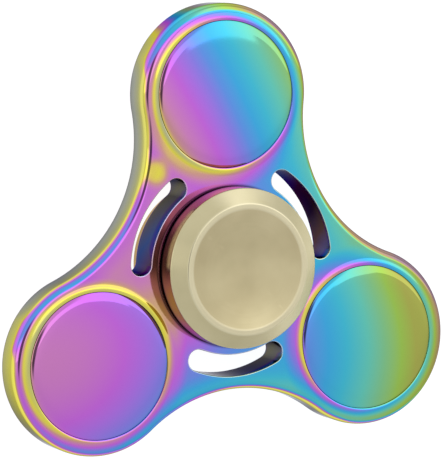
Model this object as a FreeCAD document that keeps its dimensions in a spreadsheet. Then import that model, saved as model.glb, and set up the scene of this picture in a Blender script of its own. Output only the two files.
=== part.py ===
import FreeCAD, Part
import math
import os
import Sketcher

# Three-lobed hand spinner. The turning axis is +Z through the middle of the
# bearing, the front cap is toward +Z, the first lobe points along +Y.

doc = FreeCAD.newDocument("hand_spinner")
sheet = doc.addObject("Spreadsheet::Sheet", "dims")

VALUES = [
    # plate
    ("pitch_rad", 24.0),        # axis to the middle of each lobe
    ("lobe_rad", 12.63),        # outside radius of a lobe
    ("waist_rad", 21.0),        # hollow arc between two lobes
    ("web_half", 2.65),         # half the plate thickness
    ("edge_round", 1.2),        # rounding of the outline
    ("bead_major", 10.65),      # raised rolled bead round each disc
    ("bead_minor", 0.70),
    ("bead_mid", 2.20),
    ("bead_blend", 0.22),
    ("hub_bore", 6.36),
    ("slot_pitch", 13.96),      # curved slots round the hub
    ("slot_half", 1.53),
    ("slot_sweep", 24.4),       # half the angle between the slot's end centres
    # discs
    ("pocket_rad", 10.25),
    ("pocket_floor", 1.0),
    ("disc_rad", 10.2),
    ("disc_face", 3.1),
    ("disc_round", 0.35),
    ("stud_hole", 2.1),
    ("stud_rad", 2.0),
    ("stud_tip", 2.2),
    ("socket_rad", 2.05),
    ("socket_tip", 2.35),
    # small inch bearing, 1/4 x 1/2 x 3/16
    ("brg_half", 2.381),
    ("brg_outer", 6.35),
    ("brg_bore", 3.175),
    ("land_outer", 5.35),
    ("land_inner", 4.2),
    ("ball_rad", 0.79375),
    ("ball_pitch", 4.7625),
    ("groove_rad", 0.83),
    ("race_play", 0.005),
    ("cage_in", 4.35),
    ("cage_out", 5.15),
    ("cage_half", 1.15),
    ("cage_pocket", 0.84),
    ("cbore_rad", 5.9),
    ("shield_seat", 1.95),
    ("shield_top", 2.10),
    ("shield_in", 4.4),
    ("shield_out", 5.88),
    ("snap_groove", 6.06),
    ("snap_groove_top", 2.30),
    ("snap_in", 5.5),
    ("snap_out", 6.03),
    ("snap_top", 2.28),
    ("snap_turn", 325.0),
    # axle and caps
    ("axle_rad", 3.15),
    ("axle_end_rad", 2.5),
    ("axle_tip", 5.8),
    ("axle_chamfer", 0.3),
    ("spacer_in", 2.55),
    ("spacer_out", 4.1),
    ("cap_under", 3.0),
    ("cap_rad", 11.2),
    ("cap_side_top", 6.1),
    ("cap_land_rad", 9.1),
    ("cap_top", 7.6),
    ("dish_rad", 8.5),
    ("dish_depth", 0.5),
    ("cap_socket_rad", 2.55),
    ("cap_socket_tip", 6.0),
    ("cap_lower_round", 0.25),
    ("cap_upper_round", 0.3),
]
row = 1
for alias, value in VALUES:
    sheet.set("A%d" % row, alias)
    sheet.set("B%d" % row, str(value))
    sheet.setAlias("B%d" % row, alias)
    row += 1
doc.recompute()


def val(name):
    return float(sheet.get(name))


def bind(obj, prop, expr):
    obj.setExpression(prop, expr)


def place(obj, x=None, y=None, z=None):
    if x is not None:
        bind(obj, ".Placement.Base.x", x)
    if y is not None:
        bind(obj, ".Placement.Base.y", y)
    if z is not None:
        bind(obj, ".Placement.Base.z", z)


def cylinder(name, rad, low, high, x=None, y=None, angle=None):
    o = doc.addObject("Part::Cylinder", name)
    bind(o, "Radius", rad)
    bind(o, "Height", "(%s) - (%s)" % (high, low))
    if angle is not None:
        bind(o, "Angle", angle)
    place(o, x, y, low)
    return o


def cone(name, rad_low, rad_high, low, high):
    o = doc.addObject("Part::Cone", name)
    bind(o, "Radius1", rad_low)
    bind(o, "Radius2", rad_high)
    bind(o, "Height", "(%s) - (%s)" % (high, low))
    place(o, None, None, low)
    return o


def torus(name, major, minor, z, x=None, y=None):
    o = doc.addObject("Part::Torus", name)
    bind(o, "Radius1", major)
    bind(o, "Radius2", minor)
    place(o, x, y, z)
    return o


def sphere(name, rad, x=None, y=None, z=None):
    o = doc.addObject("Part::Sphere", name)
    bind(o, "Radius", rad)
    place(o, x, y, z)
    return o


def fuse(name, parts):
    o = doc.addObject("Part::MultiFuse", name)
    o.Shapes = parts
    return o


def cut(name, base, tool):
    o = doc.addObject("Part::Cut", name)
    o.Base = base
    o.Tool = tool
    return o


def round_edges(name, base, size_alias, pick, kind="Part::Fillet"):
    doc.recompute()
    o = doc.addObject(kind, name)
    o.Base = base
    size = val(size_alias)
    o.Edges = [(i + 1, size, size) for i, e in enumerate(base.Shape.Edges) if pick(e)]
    if not o.Edges:
        raise RuntimeError("no edges for " + name)
    doc.recompute()
    return o


def circle_edge(e, radius, z, x=None, y=None):
    if e.Degenerated:
        return False
    c = e.Curve
    if not isinstance(c, Part.Circle):
        return False
    if abs(c.Radius - radius) > 1e-4 or abs(c.Center.z - z) > 1e-4:
        return False
    if x is not None and abs(c.Center.x - x) > 1e-3:
        return False
    if y is not None and abs(c.Center.y - y) > 1e-3:
        return False
    return True


LOBES = [("top", 90), ("left", 210), ("right", 330)]


def lobe_x(deg):
    return "dims.pitch_rad * cos(%d deg)" % deg if deg != 90 else "0"


def lobe_y(deg):
    return "dims.pitch_rad * sin(%d deg)" % deg


# ---------------------------------------------------------------- plate
def base_plane(body, role):
    for f in body.Origin.OriginFeatures:
        if f.Role == role:
            return f


plate = doc.addObject("PartDesign::Body", "plate")
outline = doc.addObject("Sketcher::SketchObject", "plate_outline")
plate.addObject(outline)
outline.AttachmentSupport = [(base_plane(plate, "XY_Plane"), "")]
outline.MapMode = "FlatFace"

P, RL, RW = val("pitch_rad"), val("lobe_rad"), val("waist_rad")
half = P * math.sin(math.radians(60))
waist_mid = P * math.cos(math.radians(60)) + math.sqrt((RL + RW) ** 2 - half ** 2)


def polar(r, deg):
    a = math.radians(deg)
    return FreeCAD.Vector(r * math.cos(a), r * math.sin(a), 0)


def arc(centre, radius, a, b):
    circ = Part.Circle(centre, FreeCAD.Vector(0, 0, 1), radius)
    return Part.ArcOfCircle(circ, a, b)


def heading(a, b):
    return math.atan2(b.y - a.y, b.x - a.x)


lobe_ids, waist_ids = [], []
for i, (_, deg) in enumerate(LOBES):
    c = polar(P, deg)
    before, after = polar(waist_mid, deg - 60), polar(waist_mid, deg + 60)
    a, b = heading(c, before), heading(c, after)
    while b < a:
        b += 2 * math.pi
    lobe_ids.append(outline.addGeometry(arc(c, RL, a, b), False))
for i, (_, deg) in enumerate(LOBES):
    w = polar(waist_mid, deg + 60)
    here, nxt = polar(P, deg), polar(P, deg + 120)
    a, b = heading(w, nxt), heading(w, here)
    while b < a:
        b += 2 * math.pi
    waist_ids.append(outline.addGeometry(arc(w, RW, a, b), False))
for i, (_, deg) in enumerate(LOBES):
    k = lobe_ids[i]
    c = polar(P, deg)
    if abs(c.x) < 1e-6:
        outline.addConstraint(Sketcher.Constraint("PointOnObject", k, 3, -2))
    else:
        n = outline.addConstraint(Sketcher.Constraint("DistanceX", -1, 1, k, 3, c.x))
        outline.setExpression("Constraints[%d]" % n, "dims.pitch_rad * cos(%d deg)" % deg)
    n = outline.addConstraint(Sketcher.Constraint("DistanceY", -1, 1, k, 3, c.y))
    outline.setExpression("Constraints[%d]" % n, "dims.pitch_rad * sin(%d deg)" % deg)
    n = outline.addConstraint(Sketcher.Constraint("Radius", k, RL))
    outline.setExpression("Constraints[%d]" % n, "dims.lobe_rad")
for i in range(3):
    w, k, m = waist_ids[i], lobe_ids[i], lobe_ids[(i + 1) % 3]
    outline.addConstraint(Sketcher.Constraint("Tangent", k, 2, w, 2))
    outline.addConstraint(Sketcher.Constraint("Tangent", w, 1, m, 1))
    n = outline.addConstraint(Sketcher.Constraint("Radius", w, RW))
    outline.setExpression("Constraints[%d]" % n, "dims.waist_rad")
doc.recompute()

pad = doc.addObject("PartDesign::Pad", "plate_pad")
plate.addObject(pad)
pad.Profile = outline
pad.setExpression("Length", "2 * dims.web_half")
pad.Midplane = True
plate.Tip = pad
doc.recompute()

soft = doc.addObject("PartDesign::Fillet", "plate_soft_edges")
plate.addObject(soft)
soft.Base = (pad, ["Edge%d" % (i + 1) for i, e in enumerate(pad.Shape.Edges)
                   if abs(abs(e.BoundBox.ZMin) - val("web_half")) < 1e-6
                   and abs(e.BoundBox.ZMax - e.BoundBox.ZMin) < 1e-6])
soft.setExpression("Radius", "dims.edge_round")
plate.Tip = soft
doc.recompute()

beads = []
for name, deg in LOBES:
    for side, sign in (("front", ""), ("rear", "-")):
        beads.append(torus("bead_%s_%s" % (side, name), "dims.bead_major", "dims.bead_minor",
                           sign + "dims.bead_mid", lobe_x(deg), lobe_y(deg)))
beaded = fuse("beaded_plate", [plate] + beads)
foot = val("bead_major") + math.sqrt(val("bead_minor") ** 2 - (val("web_half") - val("bead_mid")) ** 2)
blended = round_edges("blended_plate", beaded, "bead_blend",
                      lambda e: circle_edge(e, foot, val("web_half")) or circle_edge(e, foot, -val("web_half")))

tools = [cylinder("hub_bore", "dims.hub_bore", "-5", "5")]
for name, deg in LOBES:
    tools.append(cylinder("pocket_front_" + name, "dims.pocket_rad", "dims.pocket_floor", "5", lobe_x(deg), lobe_y(deg)))
    tools.append(cylinder("pocket_rear_" + name, "dims.pocket_rad", "-5", "-dims.pocket_floor", lobe_x(deg), lobe_y(deg)))
    tools.append(cylinder("stud_hole_" + name, "dims.stud_hole", "-5", "5", lobe_x(deg), lobe_y(deg)))
for k, deg in enumerate((30, 150, 270)):
    big = cylinder("slot_big_%d" % k, "dims.slot_pitch + dims.slot_half", "-5", "5", angle="2 * dims.slot_sweep")
    big.Placement.Rotation = FreeCAD.Rotation(FreeCAD.Vector(0, 0, 1), deg - val("slot_sweep"))
    bind(big, ".Placement.Rotation.Angle", "%d deg - dims.slot_sweep * 1 deg" % deg)
    small = cylinder("slot_small_%d" % k, "dims.slot_pitch - dims.slot_half", "-6", "6")
    band = cut("slot_band_%d" % k, big, small)
    ends = []
    for s in ("-", "+"):
        a = "(%d deg %s dims.slot_sweep * 1 deg)" % (deg, s)
        ends.append(cylinder("slot_end_%d_%s" % (k, "a" if s == "-" else "b"), "dims.slot_half", "-5", "5",
                             "dims.slot_pitch * cos" + a, "dims.slot_pitch * sin" + a))
    tools.append(fuse("slot_%d" % k, [band] + ends))
cutters = fuse("plate_cutters", tools)
doc.recompute()
spinner_body = cut("spinner_body", blended, cutters)

# ---------------------------------------------------------------- discs
discs = []
for name, deg in LOBES:
    x, y = lobe_x(deg), lobe_y(deg)
    cx, cy = polar(P, deg).x, polar(P, deg).y
    blank = cylinder("front_blank_" + name, "dims.disc_rad", "dims.pocket_floor", "dims.disc_face", x, y)
    rolled = round_edges("front_rolled_" + name, blank, "disc_round",
                         lambda e: circle_edge(e, val("disc_rad"), val("disc_face")))
    shank = cylinder("front_shank_" + name, "dims.stud_rad", "-dims.stud_tip", "dims.pocket_floor + 0.2", x, y)
    discs.append(fuse("front_disc_" + name, [rolled, shank]))
    blank = cylinder("rear_blank_" + name, "dims.disc_rad", "-dims.disc_face", "-dims.pocket_floor", x, y)
    rolled = round_edges("rear_rolled_" + name, blank, "disc_round",
                         lambda e: circle_edge(e, val("disc_rad"), -val("disc_face")))
    hole = cylinder("rear_socket_" + name, "dims.socket_rad", "-dims.socket_tip", "0", x, y)
    discs.append(cut("rear_disc_" + name, rolled, hole))

# ---------------------------------------------------------------- bearing
ring = cylinder("outer_blank", "dims.brg_outer", "-dims.brg_half", "dims.brg_half")
ring_tools = fuse("outer_cuts", [
    cylinder("outer_land", "dims.land_outer", "-5", "5"),
    torus("outer_race", "dims.ball_pitch + dims.ball_rad + dims.race_play - dims.groove_rad", "dims.groove_rad", "0"),
    cylinder("outer_cbore_front", "dims.cbore_rad", "dims.shield_seat", "5"),
    cylinder("outer_cbore_rear", "dims.cbore_rad", "-5", "-dims.shield_seat"),
    cylinder("outer_snap_front", "dims.snap_groove", "dims.shield_top", "dims.snap_groove_top"),
    cylinder("outer_snap_rear", "dims.snap_groove", "-dims.snap_groove_top", "-dims.shield_top"),
])
bearing_outer_ring = cut("bearing_outer_ring", ring, ring_tools)

ring = cylinder("inner_blank", "dims.land_inner", "-dims.brg_half", "dims.brg_half")
ring_tools = fuse("inner_cuts", [
    cylinder("inner_bore", "dims.brg_bore", "-5", "5"),
    torus("inner_race", "dims.ball_pitch - dims.ball_rad - dims.race_play + dims.groove_rad", "dims.groove_rad", "0"),
])
bearing_inner_ring = cut("bearing_inner_ring", ring, ring_tools)

balls, hollows = [], []
for k in range(10):
    a = "(%d deg)" % (36 * k)
    x, y = "dims.ball_pitch * cos" + a, "dims.ball_pitch * sin" + a
    balls.append(sphere("ball_%d" % k, "dims.ball_rad", x, y))
    hollows.append(sphere("cage_hollow_%d" % k, "dims.cage_pocket", x, y))
bearing_balls = doc.addObject("Part::Compound", "bearing_balls")
bearing_balls.Links = balls
cage_blank = cylinder("cage_blank", "dims.cage_out", "-dims.cage_half", "dims.cage_half")
bearing_cage = cut("bearing_cage", cage_blank,
                   fuse("cage_cuts", [cylinder("cage_middle", "dims.cage_in", "-5", "5")] + hollows))

shields, snaps = [], []
for side in ("front", "rear"):
    lo, hi = ("dims.shield_seat", "dims.shield_top") if side == "front" else ("-dims.shield_top", "-dims.shield_seat")
    shields.append(cut("bearing_%s_shield" % side,
                       cylinder("shield_blank_" + side, "dims.shield_out", lo, hi),
                       cylinder("shield_middle_" + side, "dims.shield_in", "-5", "5")))
    lo, hi = ("dims.shield_top", "dims.snap_top") if side == "front" else ("-dims.snap_top", "-dims.shield_top")
    snaps.append(cut("bearing_%s_snap_ring" % side,
                     cylinder("snap_blank_" + side, "dims.snap_out", lo, hi, angle="dims.snap_turn"),
                     cylinder("snap_middle_" + side, "dims.snap_in", "-5", "5")))

# ---------------------------------------------------------------- axle and caps
axle = fuse("axle_blank", [
    cylinder("axle_middle", "dims.axle_rad", "-dims.brg_half", "dims.brg_half"),
    cylinder("axle_ends", "dims.axle_end_rad", "-dims.axle_tip", "dims.axle_tip"),
])
axle_stud = round_edges("axle_stud", axle, "axle_chamfer",
                        lambda e: circle_edge(e, val("axle_end_rad"), val("axle_tip"))
                        or circle_edge(e, val("axle_end_rad"), -val("axle_tip")), "Part::Chamfer")
spacers, caps = [], []
dish_ball = "((dims.dish_rad * dims.dish_rad + dims.dish_depth * dims.dish_depth) / (2 * dims.dish_depth))"
for side in ("front", "rear"):
    up = side == "front"
    lo, hi = ("dims.brg_half", "dims.cap_under") if up else ("-dims.cap_under", "-dims.brg_half")
    spacers.append(cut(side + "_spacer",
                       cylinder("spacer_blank_" + side, "dims.spacer_out", lo, hi),
                       cylinder("spacer_middle_" + side, "dims.spacer_in", "-5", "5")))
    if up:
        wall = cylinder("cap_wall_front", "dims.cap_rad", "dims.cap_under", "dims.cap_side_top")
        slope = cone("cap_slope_front", "dims.cap_rad", "dims.cap_land_rad", "dims.cap_side_top", "dims.cap_top")
        dish = sphere("cap_dish_front", dish_ball, z="dims.cap_top - dims.dish_depth + " + dish_ball)
        socket = cylinder("cap_socket_front", "dims.cap_socket_rad", "0", "dims.cap_socket_tip")
    else:
        wall = cylinder("cap_wall_rear", "dims.cap_rad", "-dims.cap_side_top", "-dims.cap_under")
        slope = cone("cap_slope_rear", "dims.cap_land_rad", "dims.cap_rad", "-dims.cap_top", "-dims.cap_side_top")
        dish = sphere("cap_dish_rear", dish_ball, z="-dims.cap_top + dims.dish_depth - " + dish_ball)
        socket = cylinder("cap_socket_rear", "dims.cap_socket_rad", "-dims.cap_socket_tip", "0")
    sg = 1 if up else -1
    solid = fuse("cap_solid_" + side, [wall, slope])
    softer = round_edges("cap_soft_" + side, solid, "cap_lower_round",
                         lambda e, sg=sg: circle_edge(e, val("cap_rad"), sg * val("cap_side_top"))
                         or circle_edge(e, val("cap_rad"), sg * val("cap_under")))
    hollowed = cut("cap_hollowed_" + side, softer, fuse("cap_cuts_" + side, [dish, socket]))
    caps.append(round_edges(side + "_cap", hollowed, "cap_upper_round",
                            lambda e, sg=sg: circle_edge(e, val("cap_land_rad"), sg * val("cap_top"))))
doc.recompute()

nodes = ([spinner_body] + discs + [bearing_outer_ring, bearing_inner_ring, bearing_balls, bearing_cage]
         + shields + snaps + caps + [axle_stud] + spacers)
for o in nodes:
    o.Label = o.Name

for o in doc.Objects:
    for s in o.State:
        if s in ("Invalid", "Error"):
            raise RuntimeError("%s is %s" % (o.Name, o.State))
os.makedirs("parts", exist_ok=True)
for o in nodes:
    sh = o.Shape
    if sh.isNull() or not sh.isValid():
        raise RuntimeError("bad shape " + o.Label)
    sh.exportStep("parts/%s.step" % o.Label)
    print("%-26s solids %2d volume %10.3f" % (o.Label, len(sh.Solids), sh.Volume))
print("waist mid", waist_mid, "box", spinner_body.Shape.BoundBox)
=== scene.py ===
import bpy
import math
from mathutils import Matrix, Vector
from mathutils.geometry import delaunay_2d_cdt


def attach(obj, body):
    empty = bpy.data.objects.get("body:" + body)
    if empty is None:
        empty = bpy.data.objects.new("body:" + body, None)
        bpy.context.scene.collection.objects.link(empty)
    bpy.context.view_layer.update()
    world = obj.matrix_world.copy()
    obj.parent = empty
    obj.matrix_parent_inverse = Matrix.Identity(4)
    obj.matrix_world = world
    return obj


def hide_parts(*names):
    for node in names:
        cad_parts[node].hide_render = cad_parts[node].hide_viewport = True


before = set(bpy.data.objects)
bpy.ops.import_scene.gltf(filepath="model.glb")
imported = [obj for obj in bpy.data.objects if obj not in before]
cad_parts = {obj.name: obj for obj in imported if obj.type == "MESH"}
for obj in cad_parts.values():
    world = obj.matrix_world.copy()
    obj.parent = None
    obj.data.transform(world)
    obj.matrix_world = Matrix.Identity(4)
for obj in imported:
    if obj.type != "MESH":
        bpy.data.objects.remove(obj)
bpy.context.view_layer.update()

MM = 0.001
scene = bpy.context.scene
scene.view_settings.view_transform = "Standard"
scene.view_settings.look = "None"
scene.view_settings.exposure = 0.0
scene.view_settings.gamma = 1.0

# ------------------------------------------------------------------ sizes, mm
PITCH, LOBE, WAIST, HALF, ROUND = 24.0, 12.63, 21.0, 2.65, 1.20
DISC, FACE, FLOOR = 10.2, 3.1, 1.0
LOBES = {"top": 90.0, "left": 210.0, "right": 330.0}
HALF_SPAN = PITCH * math.sin(math.radians(60))
WAIST_MID = PITCH * 0.5 + math.sqrt((LOBE + WAIST) ** 2 - HALF_SPAN ** 2)


def polar(r, deg):
    return (r * math.cos(math.radians(deg)), r * math.sin(math.radians(deg)))


# ------------------------------------------------------------------ mesh maker
class Maker:
    """Faces with a normal stated at every corner, so polished shapes shade as true curves."""

    def __init__(self):
        self.verts, self.key, self.faces, self.normals, self.mats = [], {}, [], [], []

    def vert(self, p):
        k = (round(p[0], 5), round(p[1], 5), round(p[2], 5))
        if k not in self.key:
            self.key[k] = len(self.verts)
            self.verts.append(p)
        return self.key[k]

    def face(self, pts, nrm, mat=0):
        ids, ns = [], []
        for p, n in zip(pts, nrm):
            i = self.vert(p)
            if i in ids:
                continue
            ids.append(i)
            ns.append(n)
        if len(ids) < 3:
            return
        a, b, c = (Vector(self.verts[ids[j]]) for j in (0, 1, 2))
        g = (b - a).cross(c - a)
        if len(ids) == 4:
            g = (c - a).cross(Vector(self.verts[ids[3]]) - b)
        m = Vector((0, 0, 0))
        for n in ns:
            m += Vector(n)
        if g.dot(m) < 0:
            ids.reverse()
            ns.reverse()
        self.faces.append(ids)
        self.normals.append(ns)
        self.mats.append(mat)

    def strip(self, a, na, b, nb, mat=0, closed=True):
        n = len(a)
        for i in range(n if closed else n - 1):
            j = (i + 1) % n
            self.face([a[i], a[j], b[j], b[i]], [na[i], na[j], nb[j], nb[i]], mat)

    def build(self, name, body, node, materials):
        me = bpy.data.meshes.new(name)
        me.from_pydata([(x * MM, y * MM, z * MM) for x, y, z in self.verts], [], self.faces)
        me.polygons.foreach_set("use_smooth", [True] * len(self.faces))
        me.polygons.foreach_set("material_index", self.mats)
        flat = []
        for ns in self.normals:
            for n in ns:
                flat.append(Vector(n).normalized())
        me.normals_split_custom_set(flat)
        me.update()
        o = bpy.data.objects.new(name, me)
        scene.collection.objects.link(o)
        for m in materials:
            me.materials.append(m)
        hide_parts(node)
        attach(o, body)
        return o


def line(p, q, steps=1):
    dr, dz = q[0] - p[0], q[1] - p[1]
    d = math.hypot(dr, dz)
    n = (-dz / d, dr / d)
    return [((p[0] + dr * t / steps, p[1] + dz * t / steps), n) for t in range(steps + 1)]


def arc(c, r, a0, a1, steps, out=1):
    pts = []
    for i in range(steps + 1):
        a = math.radians(a0 + (a1 - a0) * i / steps)
        pts.append(((c[0] + r * math.cos(a), c[1] + r * math.sin(a)), (out * math.cos(a), out * math.sin(a))))
    return pts


def corner(p, a, b, r, steps=8):
    """Rounds the corner at a between the runs from p to a and from a to b."""
    u, v = Vector((p[0] - a[0], p[1] - a[1])).normalized(), Vector((b[0] - a[0], b[1] - a[1])).normalized()
    half = math.acos(max(-1, min(1, u.dot(v)))) / 2
    t = r / math.tan(half)
    c = Vector(a) + (u + v).normalized() * (r / math.sin(half))
    s, e = Vector(a) + u * t, Vector(a) + v * t
    a0, a1 = math.atan2(s.y - c.y, s.x - c.x), math.atan2(e.y - c.y, e.x - c.x)
    while a1 - a0 > math.pi:
        a1 -= 2 * math.pi
    while a1 - a0 < -math.pi:
        a1 += 2 * math.pi
    return arc((c.x, c.y), r, math.degrees(a0), math.degrees(a1), steps)


def rounded(points, radii, steps=8, fine=1):
    """A profile of straight runs with rounded corners, as runs of (point, normal)."""
    runs, last = [], points[0]
    for i in range(1, len(points)):
        if i < len(points) - 1 and radii[i] > 0:
            bend = corner(points[i - 1], points[i], points[i + 1], radii[i], steps)
            runs.append(line(last, bend[0][0], fine))
            runs.append(bend)
            last = bend[-1][0]
        else:
            runs.append(line(last, points[i], fine))
            last = points[i]
    return runs


def fix_normals(runs, inside):
    """Turns every run's normals away from a point inside the section."""
    fixed = []
    for run in runs:
        k = run[len(run) // 2]
        d = (k[0][0] - inside[0]) * k[1][0] + (k[0][1] - inside[1]) * k[1][1]
        fixed.append([(p, n if d > 0 else (-n[0], -n[1])) for p, n in run])
    return fixed


def lathe(mk, runs, cx=0.0, cy=0.0, segs=192, mat=0, zsign=1, side=1, mat_of=None):
    """side: +1 if the runs' stated normals already point out."""
    cs = [(math.cos(2 * math.pi * i / segs), math.sin(2 * math.pi * i / segs)) for i in range(segs)]
    for k, run in enumerate(runs):
        m = mat_of[k] if mat_of else mat
        rings = []
        for (r, z), (nr, nz) in run:
            rings.append(([(cx + r * c, cy + r * s, zsign * z) for c, s in cs],
                          [(side * nr * c, side * nr * s, side * zsign * nz) for c, s in cs]))
        for (a, na), (b, nb) in zip(rings, rings[1:]):
            mk.strip(a, na, b, nb, m)


# ------------------------------------------------------------------ materials
def rgb(h):
    out = []
    for i in (0, 2, 4):
        v = int(h[i:i + 2], 16) / 255.0
        out.append(v / 12.92 if v <= 0.04045 else ((v + 0.055) / 1.055) ** 2.4)
    return (*out, 1.0)


class Nodes:
    def __init__(self, name):
        self.mat = bpy.data.materials.new(name)
        self.mat.use_nodes = True
        self.t = self.mat.node_tree
        self.t.nodes.clear()
        self.out = self.t.nodes.new("ShaderNodeOutputMaterial")
        self.bsdf = self.t.nodes.new("ShaderNodeBsdfPrincipled")
        self.link(self.bsdf.outputs[0], self.out.inputs[0])

    def link(self, a, b):
        self.t.links.new(a, b)

    def new(self, kind, **kw):
        n = self.t.nodes.new(kind)
        for k, v in kw.items():
            setattr(n, k, v)
        return n

    def math(self, op, a, b=None, c=None, clamp=False):
        n = self.new("ShaderNodeMath", operation=op, use_clamp=clamp)
        for i, v in enumerate((a, b, c)):
            if v is None:
                continue
            if isinstance(v, (int, float)):
                n.inputs[i].default_value = v
            else:
                self.link(v, n.inputs[i])
        return n.outputs[0]

    def add(self, *vs):
        s = vs[0]
        for v in vs[1:]:
            s = self.math("ADD", s, v)
        return s

    def mul(self, a, b):
        return self.math("MULTIPLY", a, b)

    def step(self, v, lo, hi, a=0.0, b=1.0):
        n = self.new("ShaderNodeMapRange", interpolation_type="SMOOTHSTEP")
        n.inputs["From Min"].default_value = lo
        n.inputs["From Max"].default_value = hi
        n.inputs["To Min"].default_value = a
        n.inputs["To Max"].default_value = b
        self.link(v, n.inputs["Value"])
        return n.outputs["Result"]

    def noise(self, vec, scale, detail=2.0, rough=0.5, stretch=None):
        if stretch:
            m = self.new("ShaderNodeMapping")
            m.inputs["Scale"].default_value = stretch
            self.link(vec, m.inputs["Vector"])
            vec = m.outputs[0]
        n = self.new("ShaderNodeTexNoise")
        n.inputs["Scale"].default_value = scale
        n.inputs["Detail"].default_value = detail
        n.inputs["Roughness"].default_value = rough
        self.link(vec, n.inputs["Vector"])
        return n.outputs[0]

    def ramp(self, v, stops):
        n = self.new("ShaderNodeValToRGB")
        e = n.color_ramp.elements
        while len(e) > 1:
            e.remove(e[-1])
        e[0].position, e[0].color = stops[0]
        for p, c in stops[1:]:
            x = e.new(p)
            x.color = c
        self.link(v, n.inputs[0])
        return n.outputs[0]

    def mix(self, f, a, b, blend="MIX"):
        n = self.new("ShaderNodeMix", data_type="RGBA", blend_type=blend)
        for s, v in ((n.inputs[0], f), (n.inputs[6], a), (n.inputs[7], b)):
            if isinstance(v, (int, float)):
                s.default_value = v
            elif isinstance(v, tuple):
                s.default_value = v
            else:
                self.link(v, s)
        return n.outputs[2]


# colours of the interference coat as it gets thicker
LOW, SPAN = -0.40, 1.60
COAT = [(-0.40, "8d9088"), (-0.26, "a9aca0"), (-0.15, "b4b488"), (-0.07, "d2ce6c"), (0.00, "e4da52"), (0.06, "dec070"),
        (0.11, "cf9a90"), (0.18, "cd82bf"), (0.28, "c468dc"), (0.335, "ae72e4"), (0.40, "8a80e6"), (0.46, "6494e6"), (0.54, "43abe2"),
        (0.62, "46bcd6"), (0.72, "66c8b8"), (0.80, "82c48c"), (0.88, "9cc456"), (0.96, "aaac54"), (1.04, "b09274"),
        (1.14, "9a7f8a")]


RINGS = {"top": ((-0.233, 0.039, -0.054), (-0.095, -0.054, -0.039), (0.011, 0.060, 0.156)),
         "left": ((-0.166, -0.014, 0.020), (-0.157, 0.154, 0.029), (0.047, -0.173, -0.011)),
         "right": ((-0.278, 0.103, 0.000), (-0.078, -0.016, 0.010), (-0.012, 0.155, -0.075))}


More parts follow.
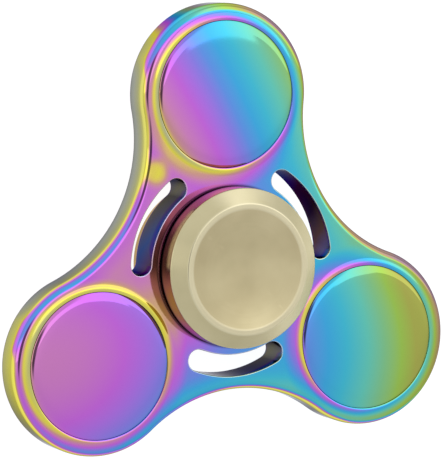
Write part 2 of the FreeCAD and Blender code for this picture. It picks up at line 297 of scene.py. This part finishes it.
def coat(name, centre=None, quad=None, wall=False, bare_and_highlight=0.0, roughness=0.07):
    """Vacuum-coated metal: the coat's thickness drifts over the piece and with the way its surface faces."""
    n = Nodes(name)
    tc = n.new("ShaderNodeTexCoord")
    pos = n.new("ShaderNodeSeparateXYZ")
    n.link(tc.outputs["Object"], pos.inputs[0])
    nrm = n.new("ShaderNodeSeparateXYZ")
    n.link(tc.outputs["Normal"], nrm.inputs[0])
    x, y = n.mul(pos.outputs[0], 1 / 0.024), n.mul(pos.outputs[1], 1 / 0.024)
    zmm = n.mul(pos.outputs[2], 1000.0)
    side = n.math("SUBTRACT", 1.0, n.mul(nrm.outputs[2], nrm.outputs[2]))
    if quad:
        dx, dy = n.math("SUBTRACT", x, centre[0]), n.math("SUBTRACT", y, centre[1])
        a, b, c, xx, xy, yy = quad
        u = n.add(a, n.mul(dx, b), n.mul(dy, c), n.mul(n.mul(dx, dx), xx), n.mul(n.mul(dx, dy), xy),
                  n.mul(n.mul(dy, dy), yy))
        u = n.add(u, n.mul(n.mul(side, nrm.outputs[0]), 0.30), n.mul(side, -0.05))
        u = n.math("MINIMUM", u, 0.955)
    else:
        xx, xy, yy = n.mul(x, x), n.mul(x, y), n.mul(y, y)
        u = n.add(0.367, n.mul(x, 0.328), n.mul(y, -0.085), n.mul(xx, 0.117), n.mul(xy, 0.247), n.mul(yy, 0.185),
                  n.mul(n.mul(xx, x), 0.042), n.mul(n.mul(xx, y), 0.183), n.mul(n.mul(xy, y), 0.068),
                  n.mul(n.mul(yy, y), -0.048))

        def reach(cx, cy):
            px, py = n.math("SUBTRACT", x, cx), n.math("SUBTRACT", y, cy)
            return px, py, n.math("SQRT", n.add(n.mul(px, px), n.mul(py, py)))

        # the coat changes across the rolled bead round each disc
        for name, deg in LOBES.items():
            px, py, r = reach(*polar(1.0, deg))
            c, d = n.math("DIVIDE", px, r), n.math("DIVIDE", py, r)
            for (a0, a1), (k0, k1, k2) in zip(((10.4, 11.6), (11.1, 12.3), (11.8, 13.8)), RINGS[name]):
                b = n.step(r, a0 / PITCH, a1 / PITCH, 1.0, 0.0)
                u = n.add(u, n.mul(b, n.add(k0, n.mul(c, k1), n.mul(d, k2))))
        # and along the waists
        flank = None
        for deg in LOBES.values():
            px, py, r = reach(*polar(WAIST_MID / PITCH, deg + 60))
            f = n.step(r, (WAIST + 0.8) / PITCH, (WAIST + 3.5) / PITCH, 1.0, 0.0)
            flank = f if flank is None else n.math("MAXIMUM", flank, f)
        u = n.add(u, n.mul(flank, n.add(0.066, n.mul(x, -0.044), n.mul(y, -0.033))))
        # slightly thinner where the hub cap masked the web
        far = n.math("SQRT", n.add(xx, yy))
        u = n.add(u, n.mul(n.mul(n.mul(n.step(far, 0.46, 0.62, 1.0, 0.0), n.step(x, -0.40, -0.08, 1.0, 0.0)), n.step(y, -0.10, 0.30, 1.0, 0.15)), -0.11))
        # a thin patch beside one slot
        px, py, r = reach(-11.3 / PITCH, 14.0 / PITCH)
        u = n.add(u, n.mul(n.mul(n.step(r, 0.020, 0.120, 1.0, 0.0), n.step(u, 0.0, 0.2)), -0.22))
        # up again where the rounded edge leans back
        u = n.add(u, n.step(nrm.outputs[1], 0.13, 0.32, 0.0, 0.24))
        # down the side wall
        deep = n.math("SUBTRACT", HALF, zmm)
        quick = n.math("MAXIMUM", n.mul(flank, n.step(nrm.outputs[1], 0.05, 0.40, 1.0, 0.3)), n.step(nrm.outputs[1], 0.02, 0.28, 0.6, 0.0))
        down = n.mul(n.step(n.mul(deep, n.add(1.0, n.mul(quick, 3.6))), 0.06, 2.20), n.step(n.add(zmm, HALF), 0.0, 0.9))
        left = n.add(n.mul(flank, -0.12), n.mul(zmm, n.add(0.030, n.mul(flank, 0.045))), -0.085)
        right = n.math("MINIMUM", n.add(u, 0.32), 1.10)
        turn = n.step(n.add(nrm.outputs[0], n.mul(y, 0.40), -0.52), -0.85, -0.10)
        wall_u = n.add(n.mul(left, n.math("SUBTRACT", 1.0, turn)), n.mul(right, turn))
        u = n.add(n.mul(u, n.math("SUBTRACT", 1.0, down)), n.mul(wall_u, down))
    u = n.add(u, n.mul(n.math("SUBTRACT", n.noise(tc.outputs["Object"], 60.0, 2.0), 0.5), 0.03))
    f = n.mul(n.math("SUBTRACT", u, LOW), 1 / SPAN)
    col = n.ramp(f, [((p - LOW) / SPAN, rgb(h)) for p, h in COAT])
    if not quad:
        # painted shade: the web turns near black in the crevice under each hub cap, where the cap shades it
        col = n.mix(n.step(far, 0.462, 0.487, 0.92, 0.0), col, rgb("140c10"))
        n.bsdf.inputs["Specular Tint"].default_value = (0.30, 0.30, 0.36, 1.0)
    if wall:
        # painted shade: slot, pocket and bore walls are turned dark grey, navy and brown, drifting with position across
        # the piece
        way = n.add(n.mul(x, 0.8), n.mul(y, -1.6), n.mul(zmm, 0.05), n.mul(n.noise(tc.outputs["Object"], 120.0, 1.0), 0.3), 0.85)
        deep = n.ramp(n.math("PINGPONG", way, 1.0), [
            (0.0, rgb("66645a")), (0.18, rgb("58586a")), (0.36, rgb("3a5088")), (0.52, rgb("4c4272")),
            (0.70, rgb("503a44")), (0.88, rgb("443844")), (1.0, rgb("3a323c"))])
        col = n.mix(0.94, col, deep)
        n.bsdf.inputs["Specular Tint"].default_value = (0.25, 0.25, 0.32, 1.0)
    if bare_and_highlight:
        # sharp edges rub through to bright metal; the same pale rim along the slot mouths is also a painted highlight
        rub_glint = n.step(n.noise(tc.outputs["Object"], 500.0, 2.0), 0.35, 0.65, 0.7, 1.0)
        col = n.mix(n.mul(rub_glint, bare_and_highlight), col, rgb("f7f3ec"))
    n.link(col, n.bsdf.inputs["Base Color"])
    n.bsdf.inputs["Metallic"].default_value = 1.0
    smear = n.noise(tc.outputs["Object"], 140.0, 4.0, 0.6)
    scratch = n.noise(tc.outputs["Object"], 900.0, 3.0, 0.7, (1.0, 14.0, 1.0))
    rough = n.add(roughness - 0.015, n.mul(smear, 0.03), n.mul(scratch, 0.02))
    n.link(rough, n.bsdf.inputs["Roughness"])
    bump = n.new("ShaderNodeBump")
    bump.inputs["Strength"].default_value = 0.02
    bump.inputs["Distance"].default_value = 0.00002
    n.link(scratch, bump.inputs["Height"])
    n.link(bump.outputs[0], n.bsdf.inputs["Normal"])
    return n.mat


def turned(name, base, dark, light, roughness=0.26, rings=9000.0, depth=0.08, metallic=1.0, aniso=0.5, cap=False):
    """Lathe-turned metal: fine rings round the spin axis, tone drifting a little between them."""
    n = Nodes(name)
    tc = n.new("ShaderNodeTexCoord")
    pos = n.new("ShaderNodeSeparateXYZ")
    n.link(tc.outputs["Object"], pos.inputs[0])
    r = n.math("SQRT", n.add(n.math("POWER", pos.outputs[0], 2.0), n.math("POWER", pos.outputs[1], 2.0)))
    along = n.new("ShaderNodeCombineXYZ")
    n.link(r, along.inputs[0])
    n.link(pos.outputs[2], along.inputs[1])
    fine = n.noise(along.outputs[0], rings, 3.0, 0.7)
    broad = n.noise(along.outputs[0], 1400.0, 2.0, 0.5)
    cloud = n.noise(tc.outputs["Object"], 90.0, 3.0, 0.55)
    tone = n.add(n.mul(fine, 0.15), n.mul(broad, 0.05), n.mul(cloud, 0.8)) if cap else n.add(n.mul(fine, 0.3), n.mul(broad, 0.2), n.mul(cloud, 0.5))
    col = n.ramp(tone, [(0.30, rgb(dark)), (0.5, rgb(base)), (0.70, rgb(light))])
    geo = n.new("ShaderNodeNewGeometry")
    worn = n.step(geo.outputs["Pointiness"], 0.55, 0.66, 0.0, 0.35)
    col = n.mix(worn, col, rgb(light))
    if cap:
        # the chamfer is cut brighter; the side wall is painted dark bronze, painted shade in place of its dark
        # reflection of the plate
        nrm = n.new("ShaderNodeSeparateXYZ")
        n.link(tc.outputs["Normal"], nrm.inputs[0])
        lean = n.math("ABSOLUTE", nrm.outputs[2])
        cut = n.mul(n.step(r, 0.0087, 0.0092), n.step(lean, 0.3, 0.7))
        col = n.mix(cut, col, n.ramp(tone, [(0.30, rgb("bfb68f")), (0.5, rgb("c9c09a")), (0.70, rgb("d5ccaa"))]))
        # painted shade: dark bronze on the side wall, standing in for the plate it mirrors
        bronze_wall_shade = n.ramp(n.noise(tc.outputs["Object"], 160.0, 2.0), [(0.3, rgb("a0834c")), (0.7, rgb("bc9a5c"))])
        # painted shadow: the foot of the side wall, next to the plate, turns near black
        bronze_wall_shade = n.mix(n.step(n.math("ABSOLUTE", pos.outputs[2]), 0.0032, 0.0039, 0.93, 0.0), bronze_wall_shade, rgb("120c0c"))
        ring = n.mul(n.step(r, 0.00815, 0.00850), n.step(r, 0.00910, 0.00935, 1.0, 0.0))
        col = n.mix(n.mul(ring, 0.55), col, rgb("e6debe"))
        col = n.mix(n.step(lean, 0.25, 0.55, 1.0, 0.0), col, bronze_wall_shade)
    n.link(col, n.bsdf.inputs["Base Color"])
    n.bsdf.inputs["Metallic"].default_value = metallic
    n.bsdf.inputs["Anisotropic"].default_value = aniso
    tan = n.new("ShaderNodeTangent", direction_type="RADIAL", axis="Z")
    n.link(tan.outputs[0], n.bsdf.inputs["Tangent"])
    n.link(n.add(roughness - 0.06, n.mul(fine, 0.03 if cap else 0.08), n.mul(cloud, 0.05)), n.bsdf.inputs["Roughness"])
    bump = n.new("ShaderNodeBump")
    bump.inputs["Strength"].default_value = depth
    bump.inputs["Distance"].default_value = 0.00003
    n.link(fine, bump.inputs["Height"])
    n.link(bump.outputs[0], n.bsdf.inputs["Normal"])
    return n.mat


M_PLATE = coat("coat_plate")
M_EDGE = coat("coat_rubbed_edges_and_highlight", bare_and_highlight=0.50)
M_WALL_SHADED = coat("coat_inner_walls_shaded", wall=True, roughness=0.14)
CENTRE = {k: polar(1.0, d) for k, d in LOBES.items()}
QUAD = {"top": (0.466, 0.788, 0.399, 0.121, -0.081, 0.067),
        "left": (0.241, 0.256, -0.094, 0.345, -0.068, 0.635),
        "right": (0.714, 0.707, 0.049, 0.143, 0.119, 0.436)}
M_DISC = {k: coat("coat_disc_" + k, CENTRE[k], QUAD[k], roughness=0.035) for k in LOBES}
M_CAP = turned("champagne_turned", "c2b690", "b5a882", "cfc39d", roughness=0.24, depth=0.012, aniso=0.35, cap=True)
M_STEEL = turned("bearing_steel_ground", "b9bbc0", "a3a6ac", "d6d8dc", roughness=0.16, rings=14000.0, depth=0.05)
M_BALL = turned("ball_steel_polished", "c9cbd0", "b6b8bd", "e2e4e8", roughness=0.10, rings=4000.0, depth=0.02, aniso=0.0)
M_CAGE = turned("cage_brass_pressed", "b08d4c", "94743a", "cfae6c", roughness=0.30)
M_SHIELD = turned("shield_steel_rolled", "9b9da0", "84868a", "b8babd", roughness=0.30)
M_SPRING = turned("spring_steel_dark", "6b6d71", "55575b", "8b8d91", roughness=0.33)
M_AXLE = turned("axle_steel_turned", "94969a", "7b7d82", "b5b7bb", roughness=0.25)

# ------------------------------------------------------------------ plate
UP, DOWN = (0, 0, 1), (0, 0, -1)


def outline(d, n_lobe=150, n_waist=60):
    """The plate's outline moved inward by d, with its outward directions."""
    pts, out = [], []
    for deg in LOBES.values():
        c = polar(PITCH, deg)
        w0, w1 = polar(WAIST_MID, deg - 60), polar(WAIST_MID, deg + 60)
        a0 = math.atan2(w0[1] - c[1], w0[0] - c[0])
        a1 = math.atan2(w1[1] - c[1], w1[0] - c[0])
        while a1 < a0:
            a1 += 2 * math.pi
        for i in range(n_lobe):
            a = a0 + (a1 - a0) * i / n_lobe
            out.append((math.cos(a), math.sin(a)))
            pts.append((c[0] + (LOBE - d) * math.cos(a), c[1] + (LOBE - d) * math.sin(a)))
        nxt = polar(PITCH, deg + 120)
        b0 = math.atan2(c[1] - w1[1], c[0] - w1[0])
        b1 = math.atan2(nxt[1] - w1[1], nxt[0] - w1[0])
        while b1 > b0:
            b1 -= 2 * math.pi
        for i in range(n_waist):
            b = b0 + (b1 - b0) * i / n_waist
            out.append((-math.cos(b), -math.sin(b)))
            pts.append((w1[0] + (WAIST + d) * math.cos(b), w1[1] + (WAIST + d) * math.sin(b)))
    return pts, out


def slot_ring(deg, grow, n_side=40, n_end=14):
    """One slot's edge, moved out by grow, with the directions pointing into the slot."""
    pitch, half, sweep = 13.96, 1.53 + grow, 24.4
    pts, into = [], []
    for i in range(n_side):
        a = deg - sweep + 2 * sweep * i / n_side
        pts.append(polar(pitch + half, a))
        u = polar(1, a)
        into.append((-u[0], -u[1]))
    for e, s in ((deg + sweep, 1), (deg - sweep, -1)):
        c = polar(pitch, e)
        base = e if s > 0 else e + 180
        for i in range(n_end):
            a = base + 180 * i / n_end
            u = polar(1, a)
            pts.append((c[0] + half * u[0], c[1] + half * u[1]))
            into.append((-u[0], -u[1]))
        if s > 0:
            for i in range(n_side):
                a = deg + sweep - 2 * sweep * i / n_side
                pts.append(polar(pitch - half, a))
                into.append(polar(1, a))
    return pts, into


def plate():
    mk = Maker()
    flat_d = 1.22
    bead_foot, crest_r, crest_z, lip_r, lip_z = 11.41, 10.56, 2.74, 10.25, 2.63
    n_bead = 240

    def z_ring(pts, z):
        return [(p[0], p[1], z) for p in pts]

    for s in (1, -1):
        up = (0, 0, s)
        # rounded outline
        last = None
        for i in range(15):
            a = math.radians(90.0 * i / 14)
            pts, out = outline(ROUND * (1 - math.cos(a)))
            ring = z_ring(pts, s * (HALF - ROUND + ROUND * math.sin(a)))
            ns = [(o[0] * math.cos(a), o[1] * math.cos(a), s * math.sin(a)) for o in out]
            if last:
                mk.strip(last[0], last[1], ring, ns)
            last = (ring, ns)
        rim, _ = outline(flat_d)
        mk.strip(last[0], [up] * len(rim), z_ring(rim, s * HALF), [up] * len(rim))
        # beads round the discs
        loops = [rim]
        for deg in LOBES.values():
            cx, cy = polar(PITCH, deg)
            prof = []
            steps = 14
            for i in range(steps + 1):
                t = i / steps
                r = bead_foot + (crest_r - bead_foot) * t
                h = t * t * t * (t * (6 * t - 15) + 10)
                dh = 30 * t * t * (t - 1) ** 2
                sl = (crest_z - HALF) * dh / (bead_foot - crest_r)
                prof.append(((r, HALF + (crest_z - HALF) * h), (sl, 1.0)))
            lip = []
            w, d = crest_r - lip_r, crest_z - lip_z
            for i in range(11):
                a = math.radians(90.0 * i / 10)
                lip.append(((crest_r - w * math.sin(a), crest_z - d + d * math.cos(a)),
                            (-math.sin(a) / w, math.cos(a) / d)))
            lathe(mk, [prof, lip], cx, cy, n_bead, 0, s)
            lathe(mk, [[((lip_r, lip_z), (-1, 0)), ((lip_r, FLOOR), (-1, 0))],
                       [((lip_r, FLOOR), (0, 1)), ((2.1, FLOOR), (0, 1))],
                       [((2.1, FLOOR), (-1, 0)), ((2.1, 0.0), (-1, 0))]], cx, cy, n_bead, 1, s)
            loops.append([(cx + bead_foot * math.cos(2 * math.pi * i / n_bead),
                           cy + bead_foot * math.sin(2 * math.pi * i / n_bead)) for i in range(n_bead)])
        # slots, with a small bevel at the mouth, pale from edge wear and a painted highlight
        bevel = 0.14
        for deg in (30, 150, 270):
            rings = []
            for i in range(6):
                a = math.radians(90.0 * i / 5)
                pts, into = slot_ring(deg, bevel * (1 - math.sin(a)))
                rings.append((z_ring(pts, s * (HALF - bevel * (1 - math.cos(a)))),
                              [(v[0] * math.sin(a), v[1] * math.sin(a), s * math.cos(a)) for v in into]))
            for (a, na), (b, nb) in zip(rings, rings[1:]):
                mk.strip(a, na, b, nb, 2)
            pts, into = slot_ring(deg, 0.0)
            wall = [(v[0], v[1], 0.0) for v in into]
            mk.strip(z_ring(pts, s * (HALF - bevel)), wall, z_ring(pts, 0.0), wall, 1)
            loops.append(slot_ring(deg, bevel)[0])
        bore = [polar(6.36, 360.0 * i / 120) for i in range(120)]
        loops.append(bore)
        wall = [(-p[0] / 6.36, -p[1] / 6.36, 0.0) for p in bore]
        mk.strip(z_ring(bore, s * HALF), wall, z_ring(bore, 0.0), wall, 1)
        # the flat web between them all
        pts2, edges = [], []
        for lp in loops:
            k = len(pts2)
            pts2 += [Vector(p) for p in lp]
            edges += [(k + i, k + (i + 1) % len(lp)) for i in range(len(lp))]
        vs, _, fs, _, _, _ = delaunay_2d_cdt(pts2, edges, [], 0, 1e-6)
        for f in fs:
            c = Vector((0, 0))
            for i in f:
                c += vs[i]
            c /= len(f)
            if not in_web(c, flat_d, bead_foot, bevel):
                continue
            mk.face([(vs[i][0], vs[i][1], s * HALF) for i in f], [up] * len(f))
    # side wall
    pts, out = outline(0.0)
    n = [(o[0], o[1], 0.0) for o in out]
    zs = [HALF - ROUND, 0.9, 0.0, -0.9, ROUND - HALF]
    for a, b in zip(zs, zs[1:]):
        mk.strip(z_ring(pts, a), n, z_ring(pts, b), n)
    return mk.build("plate_detailed", "spinner", "spinner_body", [M_PLATE, M_WALL_SHADED, M_EDGE])


def in_web(c, flat_d, bead_foot, bevel):
    r = c.length
    if r < 6.36:
        return False
    inside = False
    for deg in LOBES.values():
        d = (c - Vector(polar(PITCH, deg))).length
        if d < bead_foot:
            return False
        if d < LOBE - flat_d:
            inside = True
    if not inside:
        if r > 25.6:
            return False
        for deg in LOBES.values():
            if (c - Vector(polar(WAIST_MID, deg + 60))).length < WAIST + flat_d:
                return False
    ang = math.degrees(math.atan2(c.y, c.x))
    for deg in (30, 150, 270):
        d = (ang - deg + 180) % 360 - 180
        if abs(d) <= 24.4:
            if abs(r - 13.96) < 1.53 + bevel:
                return False
        else:
            e = Vector(polar(13.96, deg + math.copysign(24.4, d)))
            if (c - e).length < 1.53 + bevel:
                return False
    return True


plate()


# ------------------------------------------------------------------ discs
def disc(side, name):
    mk = Maker()
    cx, cy = polar(PITCH, LOBES[name])
    s = 1 if side == "front" else -1
    # a faint dome that rolls over faster and faster toward the rim
    crown, drop, power = 0.10, 0.32, 24.0
    face = []
    for i in range(73):
        r = DISC * (1 - (1 - i / 72) ** 1.6)
        t = r / DISC
        face.append(((r, FACE - crown * t * t - drop * t ** power),
                     (2 * crown * t / DISC + power * drop / DISC * t ** (power - 1), 1.0)))
    wall = [((DISC, FACE - crown - drop), (1, 0)), ((DISC, FLOOR), (1, 0))]
    if side == "front":
        under = [((DISC, FLOOR), (0, -1)), ((2.0, FLOOR), (0, -1))]
        shank = [((2.0, FLOOR), (1, 0)), ((2.0, -2.0), (1, 0))]
        chamfer = [((2.0, -2.0), (0.7, -0.7)), ((1.8, -2.2), (0.7, -0.7))]
        tip = [((1.8, -2.2), (0, -1)), ((0.0, -2.2), (0, -1))]
        runs = [face, wall, under, shank, chamfer, tip]
    else:
        under = [((DISC, FLOOR), (0, -1)), ((2.05, FLOOR), (0, -1))]
        hole = [((2.05, FLOOR), (-1, 0)), ((2.05, 2.35), (-1, 0))]
        end = [((2.05, 2.35), (0, -1)), ((0.0, 2.35), (0, -1))]
        runs = [face, wall, under, hole, end]
    lathe(mk, runs, cx, cy, 240, 0, s)
    return mk.build("%s_disc_%s_polished" % (side, name), "spinner", "%s_disc_%s" % (side, name), [M_DISC[name]])


for nm in LOBES:
    disc("front", nm)
    disc("rear", nm)


# ------------------------------------------------------------------ caps
def cap(side):
    mk = Maker()
    s = 1 if side == "front" else -1
    under, rad, top_side, land, top, dish, deep = 3.0, 11.2, 6.1, 9.1, 7.6, 8.5, 0.5
    pts = [(2.55, under), (rad, under), (rad, top_side), (land, top), (dish, top)]
    runs = rounded(pts, [0, 0.45, 0.30, 0.30, 0], 10)
    runs = fix_normals(runs, (6.5, 5.0))
    ball = (dish * dish + deep * deep) / (2 * deep)
    cz = top - deep + ball
    # soft lip into the dish, then the dish itself
    bowl = []
    for i in range(29):
        r = dish * (1 - i / 28)
        z = cz - math.sqrt(ball * ball - r * r)
        bowl.append(((r, z), (-r / ball, (cz - z) / ball)))
    lip = []
    r0, r1 = dish + 0.12, dish - 0.16
    z0, z1 = top, cz - math.sqrt(ball * ball - r1 * r1)
    for i in range(7):
        t = i / 6
        lip.append(((r0 + (r1 - r0) * t, z0 + (z1 - z0) * t * t),
                    (-(z0 - z1) * 2 * t / (r0 - r1), 1.0)))
    runs[-1] = [(p, n) for p, n in line(runs[-1][0][0], (r0, top))]
    runs[-1] = [(p, (0, 1)) for p, n in runs[-1]]
    bowl = [b for b in bowl if b[0][0] < r1]
    bowl.insert(0, ((r1, z1), (-r1 / ball, (cz - z1) / ball)))
    runs += [lip, bowl]
    runs += [[((2.55, under), (-1, 0)), ((2.55, 6.0), (-1, 0))], [((2.55, 6.0), (0, -1)), ((0.0, 6.0), (0, -1))]]
    lathe(mk, runs, 0, 0, 256, 0, s)
    return mk.build(side + "_cap_turned", "hub", side + "_cap", [M_CAP])


cap("front")
cap("rear")

# ------------------------------------------------------------------ carried-over CAD pieces
FINISH = {
    "bearing_outer_ring": M_STEEL, "bearing_inner_ring": M_STEEL, "bearing_balls": M_BALL, "bearing_cage": M_CAGE,
    "bearing_front_shield": M_SHIELD, "bearing_rear_shield": M_SHIELD,
    "bearing_front_snap_ring": M_SPRING, "bearing_rear_snap_ring": M_SPRING,
    "axle_stud": M_AXLE, "front_spacer": M_AXLE, "rear_spacer": M_AXLE,
}
for node, mat in FINISH.items():
    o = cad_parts[node]
    if not o.material_slots:
        o.data.materials.append(mat)
    for ms in o.material_slots:
        ms.material = mat

# ------------------------------------------------------------------ floor, light, camera
low = -0.0076
me = bpy.data.meshes.new("floor")
me.from_pydata([(-3, -3, low), (3, -3, low), (3, 3, low), (-3, 3, low)], [], [(0, 1, 2, 3)])
floor = bpy.data.objects.new("floor", me)
scene.collection.objects.link(floor)
n = Nodes("floor_white")
n.bsdf.inputs["Base Color"].default_value = (0.22, 0.22, 0.22, 1)
n.bsdf.inputs["Roughness"].default_value = 0.9
n.bsdf.inputs["Specular IOR Level"].default_value = 0.0
n.bsdf.inputs["Emission Color"].default_value = (1, 1, 1, 1)
n.bsdf.inputs["Emission Strength"].default_value = 0.92
me.materials.append(n.mat)

world = bpy.data.worlds.new("studio")
scene.world = world
world.use_nodes = True
wt = world.node_tree
wt.nodes.clear()


class WorldNodes(Nodes):
    def __init__(self, tree):
        self.t = tree


w = WorldNodes(wt)
wout = w.new("ShaderNodeOutputWorld")
bg = w.new("ShaderNodeBackground")
w.link(bg.outputs[0], wout.inputs[0])
tc = w.new("ShaderNodeTexCoord")
dr = w.new("ShaderNodeSeparateXYZ")
w.link(tc.outputs["Generated"], dr.inputs[0])
dx, dy, dz = dr.outputs
# an even tent, a brighter soft box above the object, darker toward the horizon
tent = w.step(dz, 0.02, 0.60, 0.78, 0.92)
edge = w.add(dy, w.step(dx, 0.34, 0.41, -0.055, 0.0), w.step(dx, 0.46, 0.52, 0.0, -0.085))
box = w.mul(w.step(edge, -0.028, -0.022), w.step(dy, 0.86, 0.96, 1.0, 0.0))
box = w.mul(box, w.math("SUBTRACT", 1.0, w.mul(w.step(dy, 0.28, 0.40), w.step(dx, 0.05, 0.30, 1.0, 0.0))))
box = w.mul(box, w.step(dz, 0.22, 0.36))
tent = w.mul(tent, w.step(dy, -0.23, -0.04, 0.88, 1.03))
# the dark gap round the lens, between the soft boxes
near = w.add(w.mul(dx, -0.434), w.mul(dy, 0.125), w.mul(dz, 0.892))
gap = w.step(near, 0.925, 0.985)
level = w.mul(w.add(tent, w.mul(box, 0.55)), w.math("SUBTRACT", 1.0, w.mul(gap, 0.88)))
w.link(level, bg.inputs["Strength"])
bg.inputs["Color"].default_value = (1, 1, 1, 1)

R = 0.024
cam_d = bpy.data.cameras.new("camera")
cam = bpy.data.objects.new("camera", cam_d)
scene.collection.objects.link(cam)
cam_d.sensor_width = 36.0
cam_d.lens = 3278.37 / 459 * 36.0
cam_d.clip_start = 0.01
ax = ((0.8983426, -0.03730449, 0.43770874), (0.083047, 0.99284286, -0.08582683), (-0.43137427, 0.1134523, 0.89501107))
at = (-8.25012805 * R, 2.37231473 * R, 16.96333879 * R + FACE * MM)
cam.matrix_world = Matrix(((ax[0][0], ax[1][0], ax[2][0], at[0]),
                           (ax[0][1], ax[1][1], ax[2][1], at[1]),
                           (ax[0][2], ax[1][2], ax[2][2], at[2]),
                           (0, 0, 0, 1)))
scene.camera = cam
